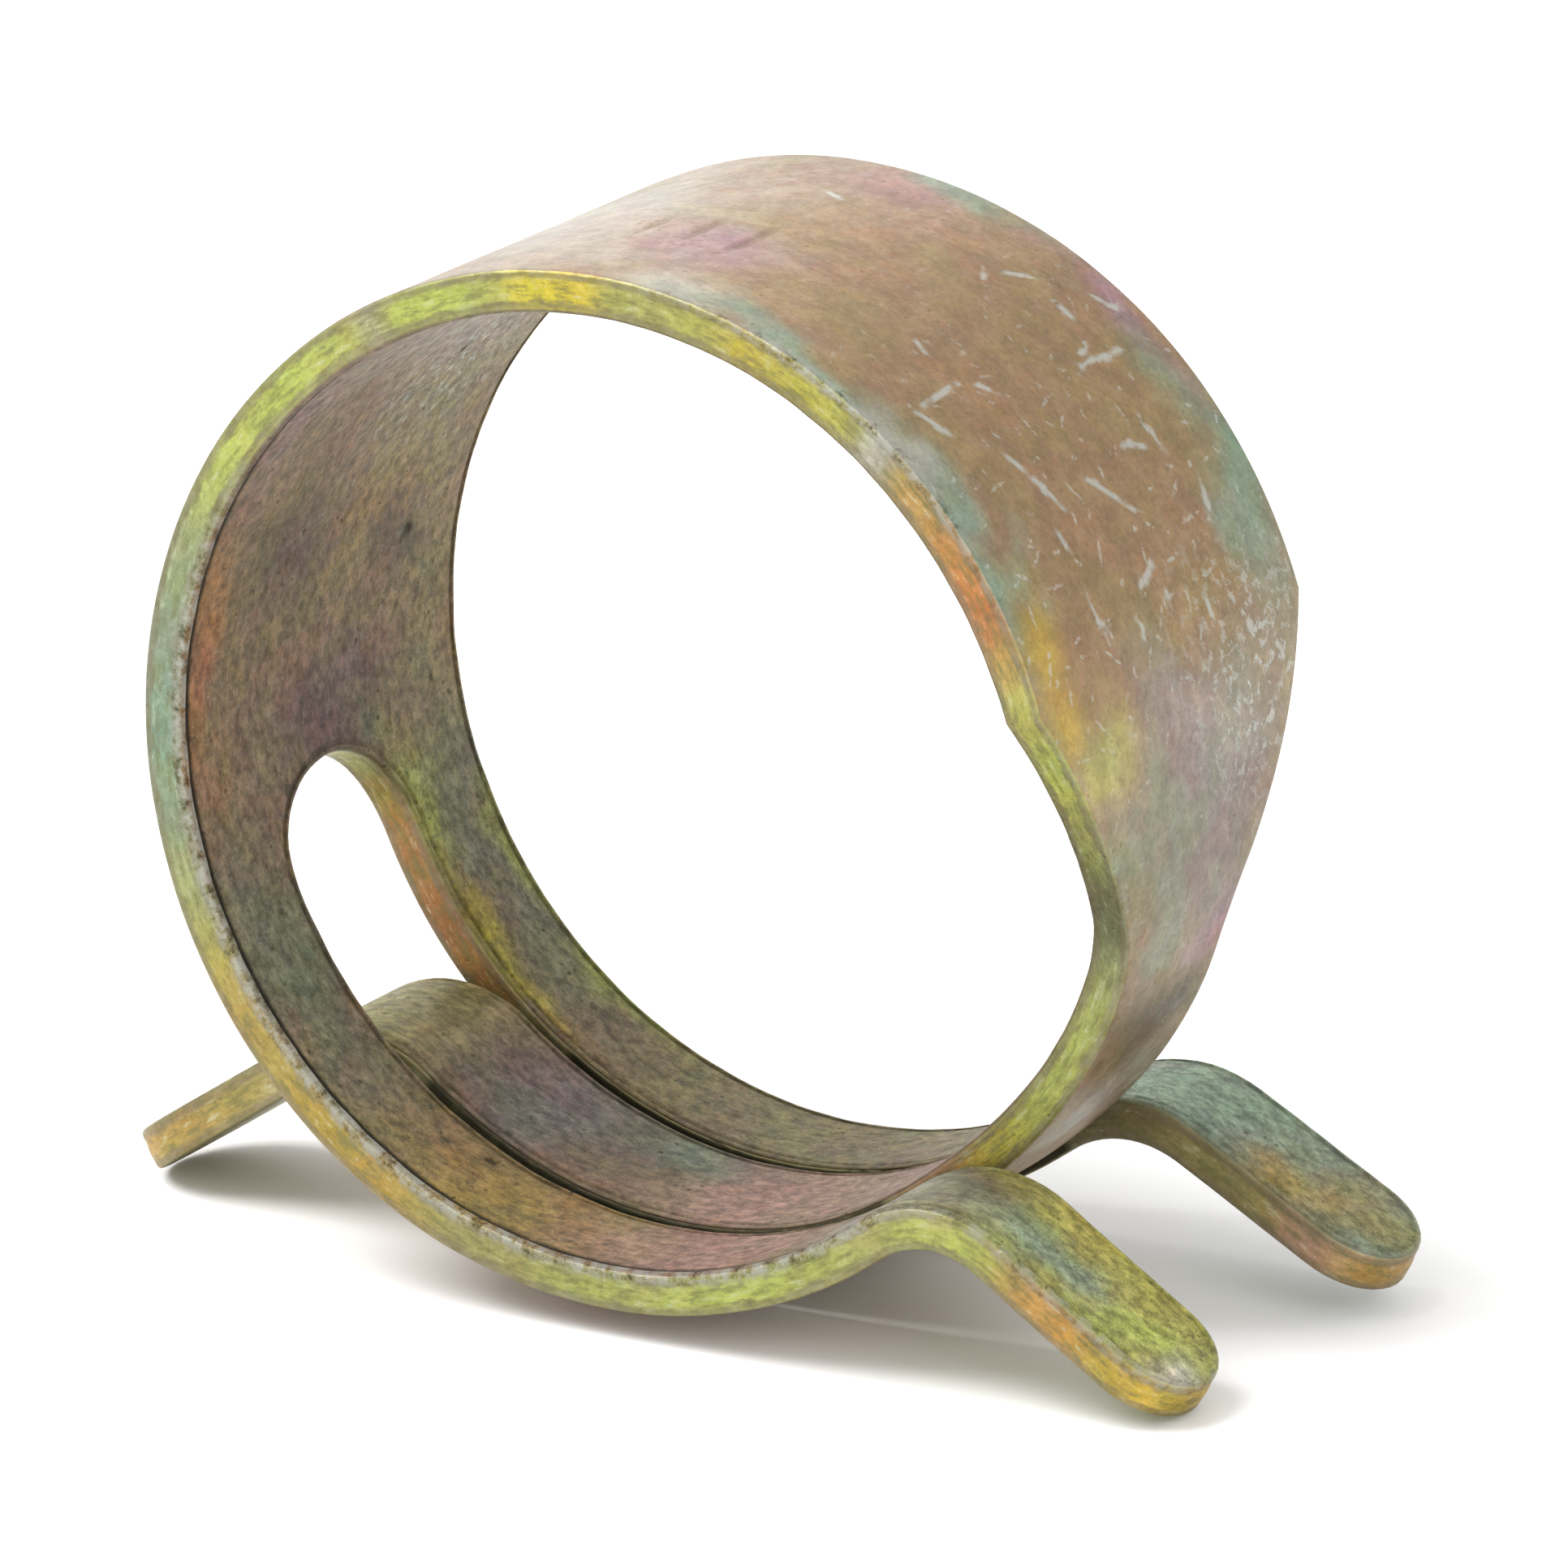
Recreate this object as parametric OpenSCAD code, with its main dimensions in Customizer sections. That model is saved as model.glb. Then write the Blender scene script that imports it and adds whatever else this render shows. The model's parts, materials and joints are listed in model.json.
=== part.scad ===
// Self-tightening hose clamp, bent from one flat strip of spring steel.
// One end of the strip is slotted into two legs, the other narrows to a tongue that
// passes between them. All three ends are bent outwards as ears, and squeezing the
// ears together opens the ring. The ring's axis is Y, and its centre is the origin.
// Angles are measured about the axis: 0 is the right-hand side (+X), 90 the top (+Z).
// The strip is drawn as rigid zones that meet at straight bending lines.

/* [Strip] */
// Inside diameter of the relaxed ring
bore_d = 23; // [20:0.5:26]
// Width of the strip, along the ring's axis
strip_w = 12; // [11:0.5:14]
// Thickness of the strip
strip_t = 1.05; // [0.8:0.05:1.3]

/* [Slot and tongue] */
// Width of the slot between the two legs
slot_w = 5.15; // [4.5:0.05:5.5]
// Clearance between the tongue and each leg
tongue_gap = 0.25; // [0.2:0.05:0.4]
// Angle of the slot's closed round end
slot_end_a = 190.9; // [188:0.1:193]
// Angle of the corners where the full width starts to narrow
shoulder_a = 16.4; // [14:0.1:18]
// Angle where the taper's sides reach the tongue's width
tongue_a = -14.6; // [-18:0.1:-12]
// Fillet radius between the taper and the tongue
taper_fillet_r = 4; // [2:0.5:5]

/* [Ears] */
// Inside radius of the front ear's and the tongue ear's bend
bend_r = 2.2; // [1.6:0.1:2.6]
// Inside radius of the rear ear's bend
rear_bend_r = 2.7; // [1.6:0.1:2.8]
// Angle where the front leg bends outwards
front_root_a = 306.3; // [304:0.1:308]
// Angle where the rear leg bends outwards
rear_root_a = 306.7; // [304:0.1:310]
// Angle where the tongue bends outwards
tongue_root_a = -129.3; // [-132:0.1:-127]
// How far the front leg turns at its bend
front_turn_a = 70; // [60:1:85]
// How far the rear leg turns at its bend
rear_turn_a = 66.3; // [60:0.1:85]
// How far the tongue turns at its bend
tongue_turn_a = 72.3; // [60:0.1:85]
// Straight length of a fork ear, from its bend to its round tip
fork_ear_l = 3.9; // [3:0.1:6]
// Straight length of the tongue ear, from its bend to its round tip
tongue_ear_l = 4.4; // [3:0.1:6]

/* [Bending zones] */
// Angle between neighbouring bending lines
zone_a = 34; // [33.5:0.1:34.5]

/* [Hidden] */
$fn = 96;

bore_r = bore_d / 2;
outer_r = bore_r + strip_t;
half_w = strip_w / 2;
slot_r = slot_w / 2;
tongue_r = slot_r - tongue_gap;
// Centre of the slot's round end
slot_centre_a = slot_end_a + asin(slot_r / outer_r);
// The crown lies across the top, with six bending lines down each side of it
top_a = 90;
// Overshoot of a cutter past the faces that it cuts
over = 1;
// Straight steps that make up the taper's fillet
fillet_steps = 8;

zinc_yellow = "#9a8f45";
zinc_tan = "#a98b6a";
zinc_green = "#8c9478";

// Bending line n: 1 to 6 run down the left side, -1 to -6 down the right side
function line_a(n) = top_a + (n > 0 ? n - 0.5 : n + 0.5) * zone_a;

// Turns the X axis to point outwards at an angle about the Y axis
module at_angle(a) {
    rotate([0, -a, 0]) children();
}

// A stretch of curved strip about the Y axis, from angle a0 to a1 and from y0 to y1
module curved_strip(inside_r, a0, a1, y0, y1) {
    rotate([90, 0, 0]) rotate([0, 0, a0])
        rotate_extrude(angle = a1 - a0)
            translate([inside_r, -y1]) square([strip_t, y1 - y0]);
}

// A stretch of the full-width ring
module band(a0, a1) {
    curved_strip(bore_r, a0, a1, -half_w, half_w);
}

// A stretch of the front leg
module front_leg(a0, a1) {
    curved_strip(bore_r, a0, a1, -half_w, -slot_r);
}

// A stretch of the rear leg
module rear_leg(a0, a1) {
    curved_strip(bore_r, a0, a1, slot_r, half_w);
}

// A stretch of the tongue
module tongue(a0, a1) {
    curved_strip(bore_r, a0, a1, -tongue_r, tongue_r);
}

// An ear that carries the strip on from root_a, bending it outwards by turn_a
module ear(root_a, turn_a, inside_r, straight_l, y0, y1) {
    at_angle(root_a) translate([outer_r + inside_r, 0, 0]) {
        curved_strip(inside_r, 180 - turn_a, 180, y0, y1);
        at_angle(180 - turn_a) translate([inside_r, y0, -straight_l]) {
            cube([strip_t, y1 - y0, straight_l]);
            translate([0, (y1 - y0) / 2, 0]) rotate([0, 90, 0])
                cylinder(h = strip_t, r = (y1 - y0) / 2);
        }
    }
}

// The taper's outline, with Y across and Z along the strip
module taper_outline() {
    top = outer_r * sin(shoulder_a);
    bottom = outer_r * sin(tongue_a);
    slope_a = atan((half_w - tongue_r) / (top - bottom));
    fillet_x = tongue_r + taper_fillet_r;
    fillet_y = bottom - taper_fillet_r * tan(slope_a / 2);
    fillet = [
        for (n = [fillet_steps : -1 : 0])
            let (a = slope_a * n / fillet_steps)
            [fillet_x - taper_fillet_r * cos(a), fillet_y + taper_fillet_r * sin(a)]
    ];
    side = concat(
        [[half_w + over, outer_r], [half_w + over, top + over / tan(slope_a)]],
        fillet,
        [[tongue_r, -outer_r]]
    );
    other_side = [for (n = [len(side) - 1 : -1 : 0]) [-side[n].x, side[n].y]];
    polygon(concat(side, other_side));
}

// Stretch of the ring on the right, trimmed to the taper's outline
module tapered_band(a0, a1) {
    intersection() {
        band(a0, a1);
        rotate([90, 0, 90]) linear_extrude(outer_r + over) taper_outline();
    }
}

module crown_band() {
    color(zinc_tan) band(line_a(-1), line_a(1));
}

module left_upper_band() {
    color(zinc_tan) band(line_a(1), line_a(2));
}

module left_side_band() {
    color(zinc_yellow) band(line_a(2), line_a(3));
}

module slot_root() {
    color(zinc_yellow) difference() {
        band(line_a(3), line_a(4));
        at_angle(slot_centre_a) translate([bore_r - over, 0, 0]) rotate([0, 90, 0])
            cylinder(h = strip_t + 2 * over, r = slot_r);
        curved_slot(slot_centre_a, line_a(4) + over);
    }
}

// The parallel stretch of the slot, as a cutter
module curved_slot(a0, a1) {
    rotate([90, 0, 0]) rotate([0, 0, a0])
        rotate_extrude(angle = a1 - a0)
            translate([bore_r - over, -slot_r]) square([strip_t + 2 * over, slot_w]);
}

module front_leg_upper() {
    color(zinc_yellow) front_leg(line_a(4), line_a(5));
}

module front_leg_middle() {
    color(zinc_yellow) front_leg(line_a(5), line_a(6));
}

module front_leg_lower() {
    color(zinc_yellow) front_leg(line_a(6), front_root_a);
}

module front_ear() {
    color(zinc_yellow) ear(front_root_a, front_turn_a, bend_r, fork_ear_l, -half_w, -slot_r);
}

module rear_leg_upper() {
    color(zinc_green) rear_leg(line_a(4), line_a(5));
}

module rear_leg_middle() {
    color(zinc_green) rear_leg(line_a(5), line_a(6));
}

module rear_leg_lower() {
    color(zinc_green) rear_leg(line_a(6), rear_root_a);
}

module rear_ear() {
    color(zinc_green) ear(rear_root_a, rear_turn_a, rear_bend_r, fork_ear_l, slot_r, half_w);
}

module right_upper_band() {
    color(zinc_tan) band(line_a(-2), line_a(-1));
}

module right_side_band() {
    color(zinc_tan) tapered_band(line_a(-3), line_a(-2));
}

module taper() {
    color(zinc_green) tapered_band(line_a(-4), line_a(-3));
}

module tongue_upper() {
    color(zinc_green) tongue(line_a(-5), line_a(-4));
}

module tongue_middle() {
    color(zinc_green) tongue(line_a(-6), line_a(-5));
}

module tongue_lower() {
    color(zinc_tan) tongue(tongue_root_a, line_a(-6));
}

module tongue_ear() {
    color(zinc_tan) mirror([0, 0, 1])
        ear(-tongue_root_a, tongue_turn_a, bend_r, tongue_ear_l, -tongue_r, tongue_r);
}

crown_band();
left_upper_band();
left_side_band();
slot_root();
front_leg_upper();
front_leg_middle();
front_leg_lower();
front_ear();
rear_leg_upper();
rear_leg_middle();
rear_leg_lower();
rear_ear();
right_upper_band();
right_side_band();
taper();
tongue_upper();
tongue_middle();
tongue_lower();
tongue_ear();
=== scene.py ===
"""A self-tightening hose clamp of yellow-plated spring steel, seen in soft studio light.

The clamp is one strip. It is drawn flat, as a blank in millimetres, and then bent: u runs along
the strip from the crown, positive towards the fork's ears and negative towards the tongue's ear,
y runs across it, and h is the height above its middle surface, positive on the outside.
"""

import json
import math

import bmesh
import bpy
import numpy as np
from mathutils import Euler, Matrix, Vector, noise
from mathutils.geometry import delaunay_2d_cdt


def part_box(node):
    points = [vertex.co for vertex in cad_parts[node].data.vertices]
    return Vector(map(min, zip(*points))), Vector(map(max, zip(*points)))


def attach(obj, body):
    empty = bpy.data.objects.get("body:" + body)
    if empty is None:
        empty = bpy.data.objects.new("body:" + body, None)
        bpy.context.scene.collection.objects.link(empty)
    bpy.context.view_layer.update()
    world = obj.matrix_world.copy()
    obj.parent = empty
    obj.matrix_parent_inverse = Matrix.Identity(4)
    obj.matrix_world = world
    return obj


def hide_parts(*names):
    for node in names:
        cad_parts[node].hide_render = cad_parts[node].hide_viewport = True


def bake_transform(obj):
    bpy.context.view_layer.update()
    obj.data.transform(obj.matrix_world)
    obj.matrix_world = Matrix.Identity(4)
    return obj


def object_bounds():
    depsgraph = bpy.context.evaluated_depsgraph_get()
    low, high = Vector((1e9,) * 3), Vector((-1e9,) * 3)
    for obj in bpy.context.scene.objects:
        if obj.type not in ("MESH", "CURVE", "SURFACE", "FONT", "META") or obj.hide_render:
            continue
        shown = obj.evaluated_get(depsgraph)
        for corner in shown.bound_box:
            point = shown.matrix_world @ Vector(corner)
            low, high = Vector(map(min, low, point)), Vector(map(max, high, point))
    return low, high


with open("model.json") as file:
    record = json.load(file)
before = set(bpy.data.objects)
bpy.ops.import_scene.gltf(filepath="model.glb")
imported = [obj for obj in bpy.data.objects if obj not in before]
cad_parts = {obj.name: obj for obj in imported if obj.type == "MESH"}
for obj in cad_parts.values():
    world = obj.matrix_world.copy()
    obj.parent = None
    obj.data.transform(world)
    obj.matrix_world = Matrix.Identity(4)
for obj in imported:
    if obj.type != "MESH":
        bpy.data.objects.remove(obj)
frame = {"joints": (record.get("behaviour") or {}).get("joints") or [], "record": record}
cad_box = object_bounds()

MM = 0.001
TOP = 90.0

# Sizes that the frame gives, in millimetres
bore = frame["record"]["mounts"][0]["dims"]
BORE_R = bore["r_mm"]
HALF_W = bore["length_mm"] / 2
OUTER_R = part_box("crown_band")[1].z / MM
STRIP_T = OUTER_R - BORE_R
MID_R = BORE_R + STRIP_T / 2
SLOT_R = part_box("rear_leg_middle")[0].y / MM
TONGUE_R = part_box("tongue_middle")[1].y / MM
FLOOR_Z = cad_box[0].z

# Places round the ring, in degrees from the right-hand side over the top, as in the design
SLOT_END_A = 190.9
SHOULDER_A = 16.4
TONGUE_A = -14.6
TAPER_FILLET_R = 4.0


def along(angle):
    """How far along the strip an angle on the ring is, from the crown."""
    return math.radians(angle - TOP) * MID_R


class Ear:
    """A limb's end: where it leaves the ring, how it bends outwards, and its straight length."""

    def __init__(self, root, turn, inside_r, straight, y0, y1):
        self.root = math.radians(root)
        self.side = 1 if root > TOP else -1
        self.turn = math.radians(turn)
        self.inside_r = inside_r
        self.mid_r = inside_r + STRIP_T / 2
        self.root_u = along(root)
        self.tip_r = (y1 - y0) / 2
        self.tip_y = (y0 + y1) / 2
        self.tip_u = self.root_u + self.side * (self.turn * self.mid_r + straight)


FRONT = Ear(306.3, 70, 2.2, 3.9, -HALF_W, -SLOT_R)
REAR = Ear(306.7, 66.3, 2.7, 3.9, SLOT_R, HALF_W)
TONGUE = Ear(-129.3, 72.3, 2.2, 4.4, -TONGUE_R, TONGUE_R)

TONGUE_L = abs(TONGUE.root_u)

# The strip's edges: a crisp outer edge, a rolled inner edge, and the step that blanking leaves
OUTER_EDGE_R = 0.10
INNER_EDGE_R = 0.17
SHEAR_STEP = 0.035
GROOVE = 0.03
# Rim vertices run in from the edge as far as this, where the broad faces take over
RIM_INSET = 0.5
EDGE_STEP = 0.3
FACE_STEP = 0.36
# A vertex belongs to a broad face when its rim share is less than this
ON_FACE = 0.1
# Steps round the curves of the outline
FILLET_STEPS = 8
FORK_TIP_STEPS = 20
TONGUE_TIP_STEPS = 26
SLOT_END_STEPS = 28

# How far the strip strays from its true curve: the tongue's dip, then coarse and fine ripples
DIP_A = -50
DIP_L = 6.0
DIP = 0.2
RIPPLE = 0.022
FINE_RIPPLE = 0.010
# The whole strip sits this much further in, so that no ripple stands proud of the CAD
SUNK = 0.02


# ---------------------------------------------------------------- bending the blank

def bent(u, y, h):
    """Points of the bent strip, in millimetres, for arrays of places on the blank."""
    out = np.zeros((len(u), 3))
    out[:, 1] = y
    for ear, mine in (
        (TONGUE, u < 0),
        (FRONT, (u >= 0) & (y < 0)),
        (REAR, (u >= 0) & (y >= 0)),
    ):
        a = np.abs(u[mine])
        past = a - abs(ear.root_u)
        turned = np.clip(past / ear.mid_r, 0, ear.turn)
        straight = np.maximum(past - ear.turn * ear.mid_r, 0)
        angle = math.radians(TOP) + ear.side * np.minimum(a, abs(ear.root_u)) / MID_R
        radial = np.stack([np.cos(angle), np.sin(angle)], 1)
        tangent = ear.side * np.stack([-np.sin(angle), np.cos(angle)], 1)
        sin, cos = np.sin(turned)[:, None], np.cos(turned)[:, None]
        on_ring = radial * (MID_R + h[mine])[:, None]
        ear_r = (ear.mid_r - h[mine])[:, None]
        on_ear = (
            radial * (OUTER_R + ear.inside_r)
            + (tangent * sin - radial * cos) * ear_r
            + (radial * sin + tangent * cos) * straight[:, None]
        )
        out[np.ix_(mine, [0, 2])] = np.where((past > 0)[:, None], on_ear, on_ring)
    return out


def bump(x, centre, width):
    """A smooth hill, 1 at the centre and 0 at width away from it."""
    t = np.clip(1 - np.abs((x - centre) / width), 0, 1)
    return t * t * (3 - 2 * t)


def waves(u, y, size, seed):
    """Smooth noise between about -1 and 1 over the blank, at a size in millimetres."""
    return np.array([noise.noise(Vector((a / size, b / size, seed))) for a, b in zip(u, y)])


def round_ring(u):
    """The angle on the ring of places along the strip; past a bend it runs on at the same rate."""
    return TOP + np.degrees(u / MID_R)


def unevenness(u, y):
    """How far bending leaves the strip off its true curve: the tongue dips, and all of it ripples."""
    dip = -DIP * bump(u, along(DIP_A), DIP_L) * (np.abs(y) < TONGUE_R + 0.3)
    ripple = RIPPLE * waves(u, y, 5.0, 3.1) + FINE_RIPPLE * waves(u, y, 1.7, 8.2)
    return dip + ripple - SUNK


# ---------------------------------------------------------------- nicks and pits

# Nicks on the outside: angle round the ring, y, length and turn, in mm and degrees
NICKS = [
    (49, -4, 1.2, 155), (52, -3, 2.2, 85), (51, -1.5, 1.0, 130), (42, -2.5, 0.9, 155),
    (37, -2, 1.0, 155), (32, -2.5, 0.6, 175), (35, 0, 1.8, 135), (38, 3, 1.0, 175),
    (38, 2, 0.9, 110), (48, 2.5, 1.1, 80), (48, 3.5, 1.2, 95), (50, 3, 0.7, 70),
    (61, 3.5, 0.9, 120), (55, 3.5, 0.9, 0), (54, 5, 0.9, 140), (25, 0, 1.2, 70),
    (20, -1, 0.8, 0), (22, 0.5, 0.5, 10), (19, 2, 0.6, 0), (29, 3.5, 1.0, 25),
    (23, -2.5, 1.0, 170), (63, 2.5, 0.7, 60), (58, -2, 0.5, 20), (84, 3, 0.9, 30),
]
NICK_W = 0.17
# The mesh is this fine over each mark and past its ends and sides
MARK_STEP = 0.08
PAST_END = 0.2
PAST_SIDE = 0.12
# Where the plain mesh makes way for a mark's fine one, in the mark's own sizes
MARK_CLEAR = 2.6
# How ragged the marks' outlines are
MARK_WOBBLE = 0.10
# A plain tally of three bars punched into the crown: angle, y, length and turn
STAMPS = [(94, -1.3, 2.2, 90), (88, -1.3, 2.2, 90), (82, -1.3, 2.2, 90)]
STAMP_W = 0.30
STAMP_DEPTH = 0.05
# Pits in the plating on the inside: angle, y and width, in mm
PITS = [(167, 3.4, 0.42), (187, 4.6, 0.25), (137, 2, 0.3), (146, 2.2, 0.22), (245, -3.4, 0.35)]


def marks_of(rows, width):
    """The (u, y, length, width, turn) of marks given as angle, y, length and turn."""
    return [(along(a), y, length, width, math.radians(turn)) for a, y, length, turn in rows]


NICK_MARKS = marks_of(NICKS, NICK_W)
STAMP_MARKS = marks_of(STAMPS, STAMP_W)
PIT_MARKS = [(along(a), y, width, width, 0) for a, y, width in PITS]


def mark_distance(u, y, marks):
    """How far each place is from its nearest mark, as a share of that mark's own size."""
    nearest = np.full(len(u), 9.0)
    u = u + MARK_WOBBLE * waves(u, y, 0.45, 42.0)
    y = y + MARK_WOBBLE * waves(u, y, 0.45, 43.0)
    for mark_u, mark_y, length, width, turn in marks:
        du, dy = u - mark_u, y - mark_y
        along_it = (du * math.cos(turn) + dy * math.sin(turn)) / (length / 2)
        across_it = (dy * math.cos(turn) - du * math.sin(turn)) / (width / 2)
        nearest = np.minimum(nearest, np.hypot(along_it, across_it))
    return nearest


def mark_points(marks):
    """A fine grid of places over every mark."""
    points = []
    for mark_u, mark_y, length, width, turn in marks:
        a = np.arange(-length / 2 - PAST_END, length / 2 + PAST_END, MARK_STEP)
        b = np.arange(-width / 2 - PAST_SIDE, width / 2 + PAST_SIDE, MARK_STEP)
        a, b = np.meshgrid(a, b)
        u = mark_u + a * math.cos(turn) - b * math.sin(turn)
        y = mark_y + a * math.sin(turn) + b * math.cos(turn)
        points.append(np.stack([u.ravel(), y.ravel()], 1))
    points = np.concatenate(points)
    _, first = np.unique(np.round(points / (MARK_STEP * 0.8)), axis=0, return_index=True)
    return points[np.sort(first)]


def mark_strength(u, y, marks):
    """How strongly each place is marked, from 0 to 1, with a ragged outline."""
    ragged = 0.9 * waves(u, y, 0.22, 40.0) + 0.5 * waves(u, y, 0.5, 41.0)
    return np.clip((1.2 - mark_distance(u, y, marks) - ragged) / 0.6, 0, 1)


# ---------------------------------------------------------------- drawing the blank

def run(a, b, step=EDGE_STEP, through=()):
    """Points from a up to but not including b, with one at each place in through."""
    a, b = np.array(a, float), np.array(b, float)
    stops = [0.0, 1.0]
    if abs(b[0] - a[0]) > 1e-9:
        shares = ((u - a[0]) / (b[0] - a[0]) for u in sorted(set(through)))
        stops += [s for s in shares if 0.001 < s < 0.999]
    stops.sort()
    points = []
    for s0, s1 in zip(stops, stops[1:]):
        n = max(1, round(np.linalg.norm(b - a) * (s1 - s0) / step))
        points += [a + (b - a) * (s0 + (s1 - s0) * i / n) for i in range(n)]
    return points


def arc(centre, r, start, end, steps):
    """Points on an arc from start up to but not including end, in degrees."""
    angles = [math.radians(start + (end - start) * i / steps) for i in range(steps)]
    return [np.array([centre[0] + r * math.cos(a), centre[1] + r * math.sin(a)]) for a in angles]


def taper_side():
    """The rear side of the taper, from the tongue to the shoulder, with its fillet."""
    shoulder, corner = along(SHOULDER_A), along(TONGUE_A)
    slope = math.atan2(HALF_W - TONGUE_R, shoulder - corner)
    fillet_l = TAPER_FILLET_R * math.tan(slope / 2)
    centre = (corner - fillet_l, TONGUE_R + TAPER_FILLET_R)
    curve = arc(centre, TAPER_FILLET_R, 270, 270 + math.degrees(slope), FILLET_STEPS)
    joins = (corner + fillet_l * math.cos(slope), TONGUE_R + fillet_l * math.sin(slope))
    return curve + run(joins, (shoulder, HALF_W))


def outline(cuts):
    """The blank's outline, clockwise with u to the right: an array of points."""
    slot_u = along(SLOT_END_A) + SLOT_R
    rear = taper_side()
    front = [np.array([p[0], -p[1]]) for p in rear]
    shoulder = along(SHOULDER_A)
    points = run((slot_u, -SLOT_R), (FRONT.tip_u, -SLOT_R), through=cuts)
    points += arc((FRONT.tip_u, FRONT.tip_y), FRONT.tip_r, 90, -90, FORK_TIP_STEPS)
    points += run((FRONT.tip_u, -HALF_W), (shoulder, -HALF_W), through=cuts)
    points += [np.array([shoulder, -HALF_W])] + front[:0:-1]
    points += run(front[0], (TONGUE.tip_u, -TONGUE_R), through=cuts)
    points += arc((TONGUE.tip_u, 0), TONGUE_R, -90, -270, TONGUE_TIP_STEPS)
    points += run((TONGUE.tip_u, TONGUE_R), rear[0], through=cuts)
    points += rear
    points += run((shoulder, HALF_W), (REAR.tip_u, HALF_W), through=cuts)
    points += arc((REAR.tip_u, REAR.tip_y), REAR.tip_r, 90, -90, FORK_TIP_STEPS)
    points += run((REAR.tip_u, SLOT_R), (slot_u, SLOT_R), through=cuts)
    points += arc((slot_u, 0), SLOT_R, 90, 270, SLOT_END_STEPS)
    return np.array(points)


def inward(points):
    """Each outline point's inward direction, longer at a corner so that insets stay parallel."""
    edge = np.roll(points, -1, 0) - points
    edge /= np.linalg.norm(edge, axis=1)[:, None]
    normal = np.stack([edge[:, 1], -edge[:, 0]], 1)
    both = normal + np.roll(normal, 1, 0)
    return both * 2 / (both**2).sum(1)[:, None]


def rim_profile():
    """(inset, height, rim share, outer wear, inner wear, groove) round the edge, outer face to inner."""
    top, low = STRIP_T / 2, -STRIP_T / 2
    rows = [(RIM_INSET, top, 0, 0, 0, 0), (0.28, top, 0, 0.3, 0, 0)]
    for a in (90, 60, 30, 0):
        sin, cos = math.sin(math.radians(a)), math.cos(math.radians(a))
        at = (OUTER_EDGE_R * (1 - cos), top - OUTER_EDGE_R * (1 - sin))
        rows.append((*at, 1 - a / 90, 1, 0, 0))
    rows += [(0, 0.28, 1, 0.2, 0, 0), (0, 0.1, 1, 0, 0, 0)]
    rows += [(0.3 * SHEAR_STEP, -0.04, 1, 0, 0, 0), (SHEAR_STEP, -0.14, 1, 0, 0.1, 0)]
    rows += [(SHEAR_STEP, -0.24, 1, 0, 0.5, 0)]
    for a in (0, 18, 36, 54, 72, 90):
        sin, cos = math.sin(math.radians(a)), math.cos(math.radians(a))
        at = (SHEAR_STEP + INNER_EDGE_R * (1 - cos), low + INNER_EDGE_R * (1 - sin))
        rows.append((*at, 1 - a / 90, 0, 1, 0))
    lip_end = SHEAR_STEP + INNER_EDGE_R
    rows += [(lip_end + 0.03, low + GROOVE, 0, 0, 0.1, 1)]
    rows += [(lip_end + 0.11, low + GROOVE, 0, 0, 0, 1)]
    rows += [(lip_end + 0.19, low, 0, 0, 0, 0.15), (RIM_INSET, low, 0, 0, 0, 0)]
    return np.array(rows)


def strands(u):
    """The (low, high) widths of metal at a place along the blank."""
    if u > along(SLOT_END_A) + SLOT_R:
        return [(-HALF_W, -SLOT_R), (SLOT_R, HALF_W)]
    if u < along(TONGUE_A) - 1.5:
        return [(-TONGUE_R, TONGUE_R)]
    return [(-HALF_W, HALF_W)]


def inside(points, loop, margin):
    """Which points lie inside the loop and at least margin away from it."""
    a, b = loop, np.roll(loop, -1, 0)
    keep = np.zeros(len(points), bool)
    for i, p in enumerate(points):
        crosses = (a[:, 1] > p[1]) != (b[:, 1] > p[1])
        x = a[crosses, 0] + (p[1] - a[crosses, 1]) / (b[crosses, 1] - a[crosses, 1]) * (
            b[crosses, 0] - a[crosses, 0]
        )
        near = ((a - p) ** 2).sum(1).min()
        keep[i] = (x > p[0]).sum() % 2 == 1 and near > margin**2
    return keep


def face_points(loop, cut_lines):
    """Points inside the inset loop, in rows: plain ones, and the rows along each cut."""
    plain = []
    rows = np.arange(loop[:, 0].min(), loop[:, 0].max(), FACE_STEP)
    for n, u in enumerate(rows):
        if min(abs(u - c[0]) for c in cut_lines) < FACE_STEP * 0.6:
            continue
        shift = FACE_STEP / 2 if n % 2 else 0
        plain += [(u, y + shift) for y in np.arange(-HALF_W, HALF_W, FACE_STEP)]
    plain = np.array(plain)
    marks = NICK_MARKS + STAMP_MARKS + PIT_MARKS
    plain = plain[mark_distance(*plain.T, marks) > MARK_CLEAR]
    fine = mark_points(marks)
    off_cuts = np.abs(fine[:, :1] - np.array([c[0] for c in cut_lines])).min(1) > MARK_STEP
    plain = np.concatenate([plain, fine[off_cuts]])
    plain = plain[inside(plain, loop, FACE_STEP * 0.55)]
    cut_rows = []
    for u, y0, y1 in cut_lines:
        n = max(2, round((y1 - y0) / FACE_STEP))
        cut_rows.append([(u, y0 + (y1 - y0) * i / n) for i in range(1, n)])
    return plain, cut_rows


def rim_points(edge, profile):
    """The rim's points, one profile at each point of the outline."""
    inset, inner_wear = profile[:, 0], profile[:, 4]
    # The inner lip is a little wider in some places than in others
    lip = 1 + 0.25 * np.array([noise.noise(Vector((p[0] * 1.3, p[1] * 1.3, 5))) for p in edge])
    depth = inset[None, :] * np.where(inner_wear > 0.6, lip[:, None], 1)
    rim = edge[:, None] + inward(edge)[:, None] * depth[..., None]
    heights = np.broadcast_to(profile[None, :, 1:2], (len(edge), len(profile), 1))
    return np.concatenate([rim, heights], 2)


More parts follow.
